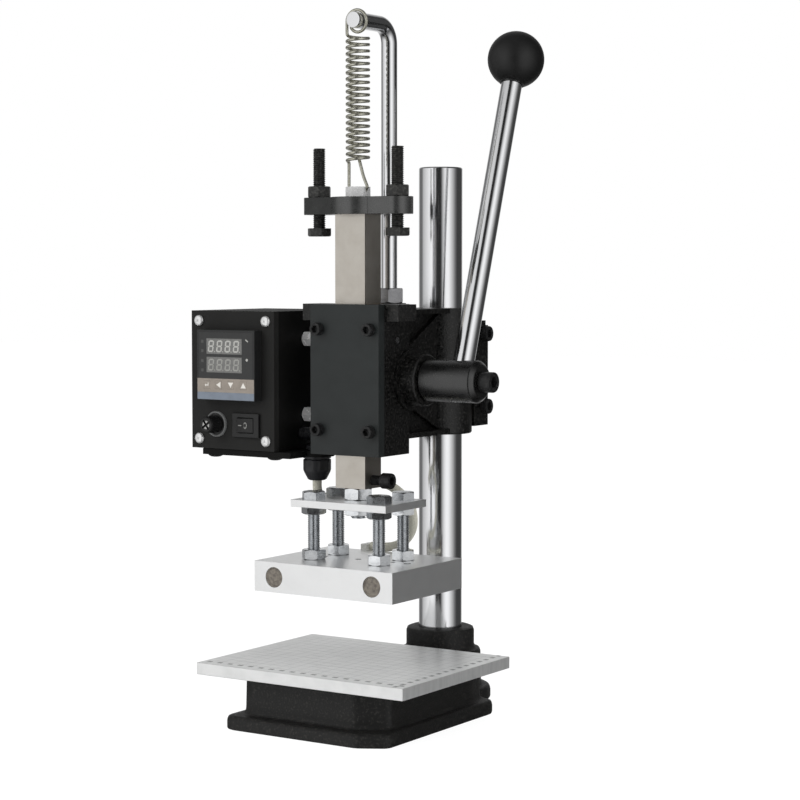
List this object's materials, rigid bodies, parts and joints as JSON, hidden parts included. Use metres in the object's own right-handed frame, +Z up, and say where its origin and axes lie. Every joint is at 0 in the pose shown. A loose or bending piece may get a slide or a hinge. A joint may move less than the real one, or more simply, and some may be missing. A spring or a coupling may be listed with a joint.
{
  "type": "hot foil stamping machine",
  "caption": "Bench hot foil stamping press: lever, rack and pinion ram with return spring, heated block on a levelling plate, temperature control box, column and work table.",
  "frame": {"origin": "floor level under the ram axis, on the web across the hollow underside of the base casting", "axes": "+Z up, -Y to the front, +X to the side of the lever hub"},
  "size_m": [0.2554, 0.248, 0.5611],
  "materials": {
    "cast_iron_black": "speckled black casting paint",
    "cover_black": "matte black paint",
    "panel_black": "fine textured black powder coat",
    "black_oxide": "blackened steel",
    "lever_black": "glossy black paint",
    "chrome_column": "polished",
    "ram_steel": "ground steel",
    "zinc_steel": "zinc plated",
    "bright_screws": "nickel plated",
    "drive_steel": "machined",
    "bearing_bronze": "turned",
    "table_aluminium": "milled with ruled lines",
    "block_aluminium": "milled",
    "heater_steel": "heat tinted",
    "wire_sleeve": "braided glass sleeve",
    "terminal_ceramic": "glazed ceramic",
    "spring_steel": "bright drawn wire",
    "ball_black": "polished phenolic",
    "gland_black": "moulded nylon",
    "controller_black": "moulded",
    "key_beige": "moulded",
    "fitting_black": "moulded phenolic"
  },
  "bodies": {
    "base": {"base_casting": "cast_iron_black", "work_table": "table_aluminium", "table_screws": "bright_screws", "column_set_screw": "black_oxide"},
    "column": {"column": "chrome_column"},
    "head": {"head_casting": "cast_iron_black", "cover_plate": "cover_black", "cover_screws": "black_oxide", "clamp_bolts": "black_oxide", "gib_strip": "bearing_bronze", "gib_screw": "drive_steel", "pinion_bushes": "bearing_bronze", "spring_rod": "chrome_column", "spring_rod_nut": "black_oxide", "control_box": "panel_black", "front_lid": "panel_black", "lid_screws": "bright_screws", "bracket_plate": "panel_black", "bracket_screws": "black_oxide", "box_standoffs": "bright_screws", "cable_gland": "gland_black", "gland_elbow": "gland_black", "mains_gland": "gland_black", "controller_body": "controller_black", "controller_bezel": "controller_black", "fuse_holder": "fitting_black", "switch_body": "fitting_black"},
    "lever": {"pinion_gear": "drive_steel", "pinion_shaft": "drive_steel", "shaft_keys": "drive_steel", "retaining_ring": "black_oxide", "lever_hub": "lever_black", "hub_screw": "black_oxide", "lever_rod": "chrome_column", "ball_knob": "ball_black"},
    "ram": {"ram": "ram_steel", "stop_flange": "cast_iron_black", "flange_stud": "zinc_steel", "stop_nuts": "black_oxide", "spring_seat": "chrome_column", "clamp_screw": "black_oxide", "centre_stud": "zinc_steel", "centre_nuts": "zinc_steel", "levelling_plate": "block_aluminium", "levelling_bolts": "zinc_steel", "levelling_nuts": "zinc_steel", "heat_block": "block_aluminium", "cartridge_heaters": "heater_steel", "heater_leads": "wire_sleeve", "terminal_block": "terminal_ceramic", "return_spring": "spring_steel", "heater_cable": "wire_sleeve"},
    "stop_left": {"stop_bolt_left": "black_oxide"},
    "stop_right": {"stop_bolt_right": "black_oxide"},
    "set_key": {"key_set": "key_beige"},
    "shift_key": {"key_shift": "key_beige"},
    "down_key": {"key_down": "key_beige"},
    "up_key": {"key_up": "key_beige"},
    "fuse_cap": {"fuse_cap": "fitting_black"},
    "rocker": {"rocker": "fitting_black"}
  },
  "joints": [
    {"name": "head_swivel", "type": "hinge", "parent": "base", "child": "column", "pos_m": [0, 0.1216, 0], "axis": [0, 0, 1], "range_deg": [-90, 90]},
    {"name": "head_height", "type": "slide", "parent": "column", "child": "head", "axis": [0, 0, 1], "range_m": [-0.01, 0.1]},
    {"name": "lever_turn", "type": "hinge", "parent": "head", "child": "lever", "pos_m": [0, 0.02645, 0.2718], "axis": [1, 0, 0], "range_deg": [0, 150]},
    {"name": "ram_slide", "type": "slide", "parent": "head", "child": "ram", "axis": [0, 0, -1], "range_m": [0, 0.04451], "stiffness_N_per_m": 700, "springref_m": -0.07, "deforming": ["return_spring", "heater_cable"]},
    {"name": "stop_bolt_left_screw", "type": "slide", "parent": "ram", "child": "stop_left", "axis": [0, 0, -1], "range_m": [-0.009, 0.007]},
    {"name": "stop_bolt_right_screw", "type": "slide", "parent": "ram", "child": "stop_right", "axis": [0, 0, -1], "range_m": [-0.009, 0.007]},
    {"name": "set_key_press", "type": "slide", "parent": "head", "child": "set_key", "axis": [0, 1, 0], "range_m": [0, 0.0005], "stiffness_N_per_m": 500, "springref_m": -0.0005},
    {"name": "shift_key_press", "type": "slide", "parent": "head", "child": "shift_key", "axis": [0, 1, 0], "range_m": [0, 0.0005], "stiffness_N_per_m": 500, "springref_m": -0.0005},
    {"name": "down_key_press", "type": "slide", "parent": "head", "child": "down_key", "axis": [0, 1, 0], "range_m": [0, 0.0005], "stiffness_N_per_m": 500, "springref_m": -0.0005},
    {"name": "up_key_press", "type": "slide", "parent": "head", "child": "up_key", "axis": [0, 1, 0], "range_m": [0, 0.0005], "stiffness_N_per_m": 500, "springref_m": -0.0005},
    {"name": "fuse_cap_turn", "type": "hinge", "parent": "head", "child": "fuse_cap", "pos_m": [-0.1214, -0.0336, 0.2338], "axis": [0, -1, 0], "range_deg": [0, 90]},
    {"name": "rocker_tip", "type": "hinge", "parent": "head", "child": "rocker", "pos_m": [-0.091, -0.0266, 0.2338], "axis": [0, 0, 1], "range_deg": [-20, 0]}
  ],
  "couplings": [
    {"joint": "ram_slide", "follows": "lever_turn", "m_per_rad": 0.017}
  ]
}
